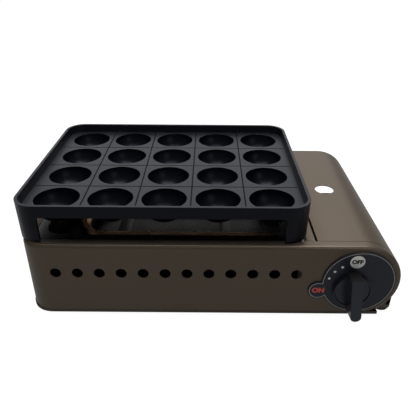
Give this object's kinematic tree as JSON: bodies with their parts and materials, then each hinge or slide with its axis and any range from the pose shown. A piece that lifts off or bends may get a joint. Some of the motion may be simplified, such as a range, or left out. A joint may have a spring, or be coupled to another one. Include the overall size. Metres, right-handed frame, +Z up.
{
  "type": "table-top gas takoyaki cooker",
  "caption": "Table-top gas cooker with a cast plate of round cups on a pressed steel casing, a turning valve knob and a hinged cover over the cartridge bay.",
  "frame": {"origin": "on the table, in the middle of the rectangle that the whole cooker covers", "axes": "+X to the right seen from the front, +Y from the front face to the back, +Z up"},
  "size_m": [0.3846, 0.267, 0.126],
  "materials": {
    "enamel": "satin bronze-brown enamel",
    "pan": "satin dark enamel",
    "cast": "matt non-stick black",
    "bright_sheet": "bright pressed sheet",
    "burner_tube": "heat-tinted",
    "brass": "plain",
    "die_cast": "as cast",
    "hinge_steel": "plated",
    "dial": "smooth, with printed ring and marks",
    "knob_plastic": "fine satin",
    "ceramic": "glazed sleeve",
    "lead": "insulated",
    "foot_rubber": "matt"
  },
  "bodies": {
    "base": {"base_pan": "pan", "casing": "enamel", "deck": "enamel", "reflector_tray": "bright_sheet", "heat_shield": "bright_sheet", "bulkhead": "bright_sheet", "cartridge_cradle": "bright_sheet", "burner": "burner_tube", "burner_support_left": "bright_sheet", "burner_support_right": "bright_sheet", "regulator": "die_cast", "gas_pipe": "brass", "injector": "brass", "magnet_left": "hinge_steel", "magnet_right": "hinge_steel", "heat_strap": "die_cast", "electrode": "ceramic", "ignition_lead": "lead", "piezo_igniter": "knob_plastic", "dial_panel": "dial", "base_hinge": "hinge_steel", "hinge_pin": "hinge_steel", "foot_front_left": "foot_rubber", "foot_front_right": "foot_rubber", "foot_rear_left": "foot_rubber", "foot_rear_right": "foot_rubber", "locator_front": "hinge_steel", "locator_rear": "hinge_steel"},
    "knob_and_shaft": {"knob": "knob_plastic", "valve_shaft": "hinge_steel", "cam": "knob_plastic"},
    "cover": {"cover": "enamel", "cover_hinge": "hinge_steel"},
    "plate": {"griddle_plate": "cast", "plate_skirt": "cast"}
  },
  "joints": [
    {"name": "cover_hinge", "type": "hinge", "parent": "base", "child": "cover", "pos_m": [0.1883, 0.01125, 0.0186], "axis": [0, 1, 0], "range_deg": [0, 100]},
    {"name": "knob_turn", "type": "hinge", "parent": "base", "child": "knob_and_shaft", "pos_m": [0.1416, -0.111, 0.037], "axis": [0, -1, 0], "range_deg": [0, 101]},
    {"name": "plate_lift", "type": "slide", "parent": "base", "child": "plate", "axis": [0, 0, 1], "range_m": [0, 0.08]}
  ]
}
